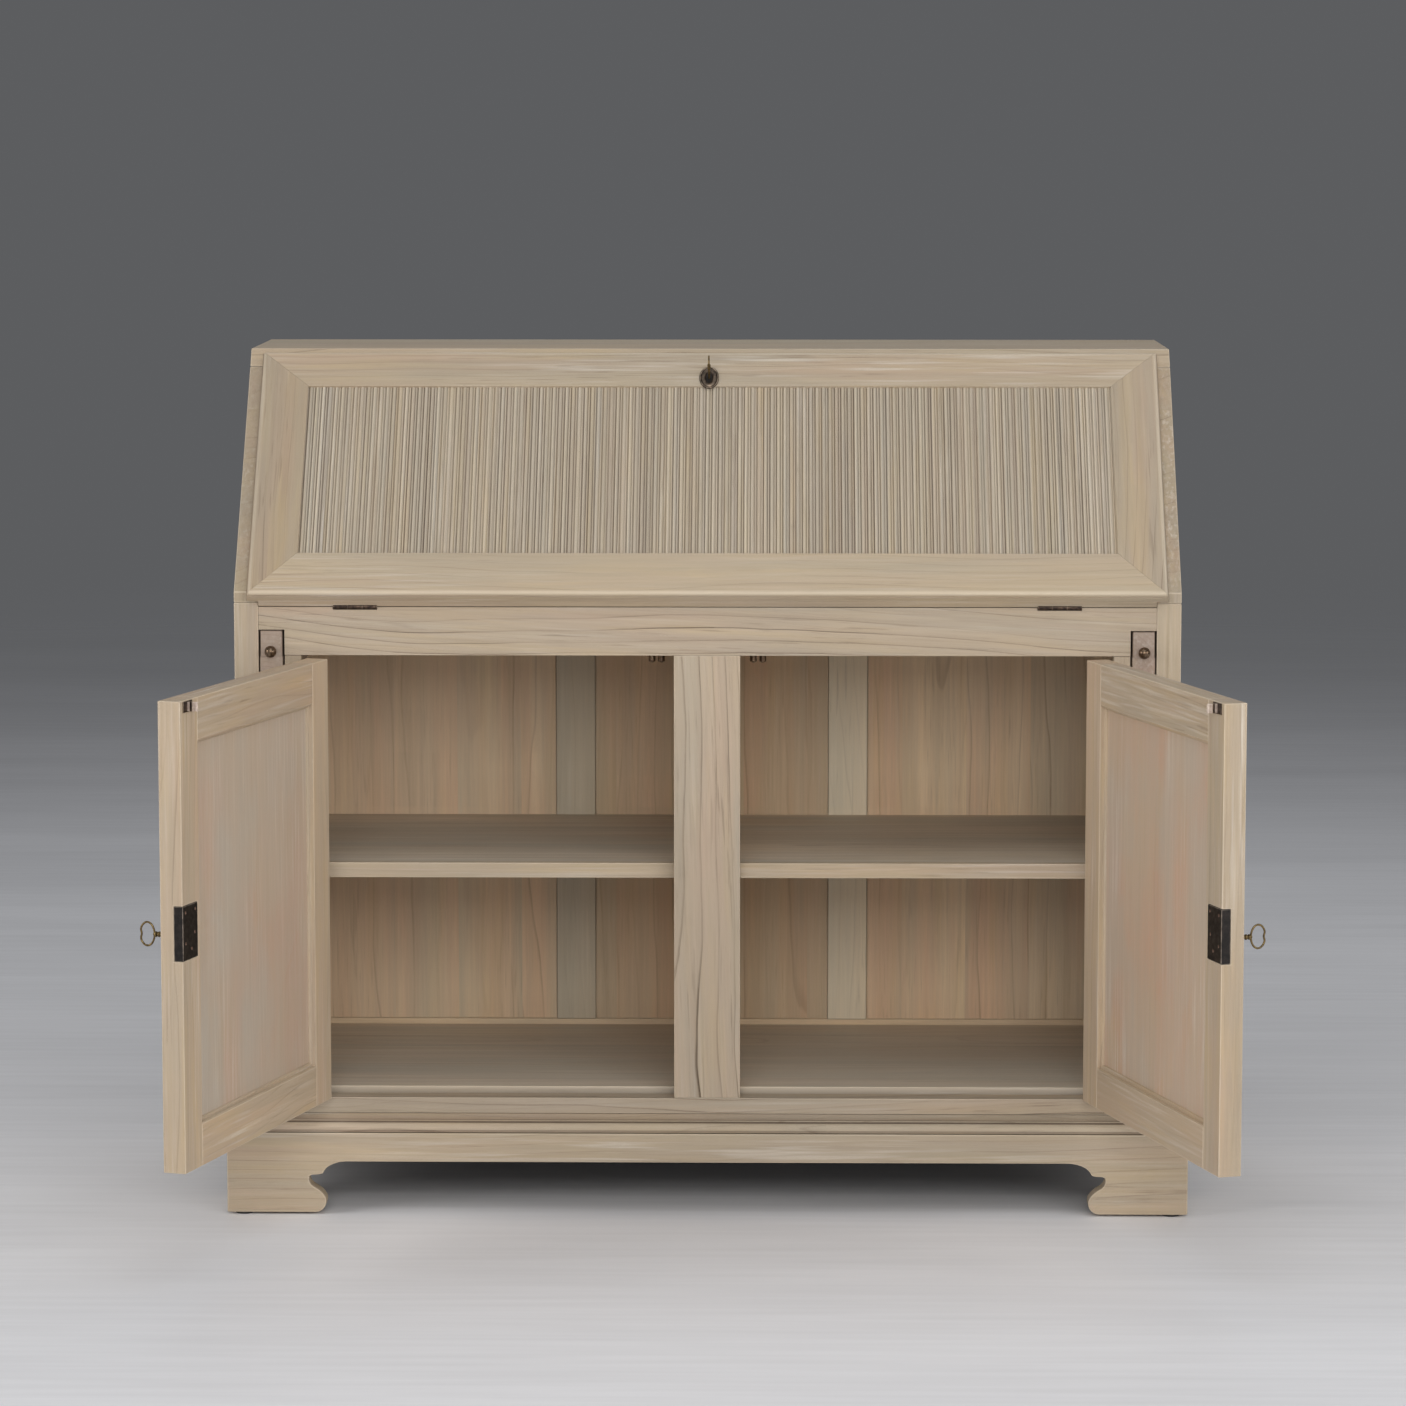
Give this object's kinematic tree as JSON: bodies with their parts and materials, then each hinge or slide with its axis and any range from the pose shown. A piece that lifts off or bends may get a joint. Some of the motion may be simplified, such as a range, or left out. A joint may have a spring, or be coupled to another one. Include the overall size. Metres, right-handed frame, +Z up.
{
  "type": "secretary desk",
  "caption": "Fall-front secretary desk in limed wood: sloping reeded flap on pull-out lopers, pigeonholes inside, two-door cupboard with a shelf, on a bracket-foot plinth.",
  "frame": {"origin": "on the floor, at the middle of the footprint of the desk as it stands with both doors open", "axes": "+X to the right of someone who faces the desk, +Y from the front to the back, +Z up"},
  "size_m": [1.3062, 0.9362, 1.07],
  "materials": {
    "limed_wood": "limed, open grain, matt wax",
    "interior_wood": "limed, open grain, unwaxed, a little darker",
    "dark_bronze": "dark patina, worn on the high spots",
    "key_brass": "aged, dull",
    "lock_iron": "blackened",
    "glide_plastic": "moulded"
  },
  "bodies": {
    "carcass": {"base_moulding_front": "limed_wood", "base_moulding_left": "limed_wood", "base_moulding_right": "limed_wood", "bottom_board": "interior_wood", "bottom_rail": "limed_wood", "centre_partition": "interior_wood", "centre_stile": "limed_wood", "cheek_left": "limed_wood", "cheek_right": "limed_wood", "door_hinge_left_high": "dark_bronze", "door_hinge_left_low": "dark_bronze", "door_hinge_right_high": "dark_bronze", "door_hinge_right_low": "dark_bronze", "flap_hinge_leaf_left": "dark_bronze", "flap_hinge_leaf_right": "dark_bronze", "front_stile_left": "limed_wood", "front_stile_right": "limed_wood", "gallery": "interior_wood", "glide_front_left": "glide_plastic", "glide_front_right": "glide_plastic", "glide_rear_left": "glide_plastic", "glide_rear_right": "glide_plastic", "loper_bearer_left": "limed_wood", "loper_bearer_right": "limed_wood", "lower_back": "interior_wood", "plinth_back": "interior_wood", "plinth_front": "limed_wood", "plinth_side_left": "limed_wood", "plinth_side_right": "limed_wood", "shelf_left": "interior_wood", "shelf_right": "interior_wood", "side_panel_left": "limed_wood", "side_panel_right": "limed_wood", "top_board": "limed_wood", "top_rail": "limed_wood", "upper_back": "interior_wood", "writing_board": "limed_wood"},
    "flap": {"flap_frame": "limed_wood", "flap_panel": "limed_wood", "flap_lock": "lock_iron", "flap_escutcheon": "dark_bronze", "flap_leaf_left": "dark_bronze", "flap_leaf_right": "dark_bronze"},
    "flap_key": {"flap_key": "key_brass"},
    "door_left": {"door_frame_left": "limed_wood", "door_panel_left": "limed_wood", "door_lock_left": "lock_iron", "door_escutcheon_left": "dark_bronze"},
    "door_key_left": {"door_key_left": "key_brass"},
    "loper_left": {"loper_left": "limed_wood", "loper_knob_left": "dark_bronze"},
    "drawer_left": {"drawer_left": "interior_wood"},
    "door_right": {"door_frame_right": "limed_wood", "door_panel_right": "limed_wood", "door_lock_right": "lock_iron", "door_escutcheon_right": "dark_bronze"},
    "door_key_right": {"door_key_right": "key_brass"},
    "loper_right": {"loper_right": "limed_wood", "loper_knob_right": "dark_bronze"},
    "drawer_right": {"drawer_right": "interior_wood"}
  },
  "joints": [
    {"name": "flap_hinge", "type": "hinge", "parent": "carcass", "child": "flap", "pos_m": [0, -0.01189, 0.763], "axis": [1, 0, 0], "range_deg": [0, 129.6]},
    {"name": "flap_key_turn", "type": "hinge", "parent": "flap", "child": "flap_key", "pos_m": [0, 0.19865, 1.0175], "axis": [0, -0.7705, 0.6374], "range_deg": [0, 90]},
    {"name": "door_left_hinge", "type": "hinge", "parent": "carcass", "child": "door_left", "pos_m": [-0.501, -0.01889, 0.423], "axis": [0, 0, -1], "range_deg": [-106.5, 63.5]},
    {"name": "door_key_left_turn", "type": "hinge", "parent": "door_left", "child": "door_key_left", "pos_m": [-0.6184, -0.43988, 0.425], "axis": [-0.9588, 0.284, 0], "range_deg": [0, 90]},
    {"name": "loper_left_slide", "type": "slide", "parent": "carcass", "child": "loper_left", "axis": [0, -1, 0], "range_m": [0, 0.28]},
    {"name": "drawer_left_slide", "type": "slide", "parent": "carcass", "child": "drawer_left", "axis": [0, -1, 0], "range_m": [0, 0.15]},
    {"name": "door_right_hinge", "type": "hinge", "parent": "carcass", "child": "door_right", "pos_m": [0.501, -0.01889, 0.423], "axis": [0, 0, 1], "range_deg": [-106.5, 63.5]},
    {"name": "door_key_right_turn", "type": "hinge", "parent": "door_right", "child": "door_key_right", "pos_m": [0.6184, -0.43988, 0.425], "axis": [0.9588, 0.284, 0], "range_deg": [0, 90]},
    {"name": "loper_right_slide", "type": "slide", "parent": "carcass", "child": "loper_right", "axis": [0, -1, 0], "range_m": [0, 0.28]},
    {"name": "drawer_right_slide", "type": "slide", "parent": "carcass", "child": "drawer_right", "axis": [0, -1, 0], "range_m": [0, 0.15]}
  ]
}
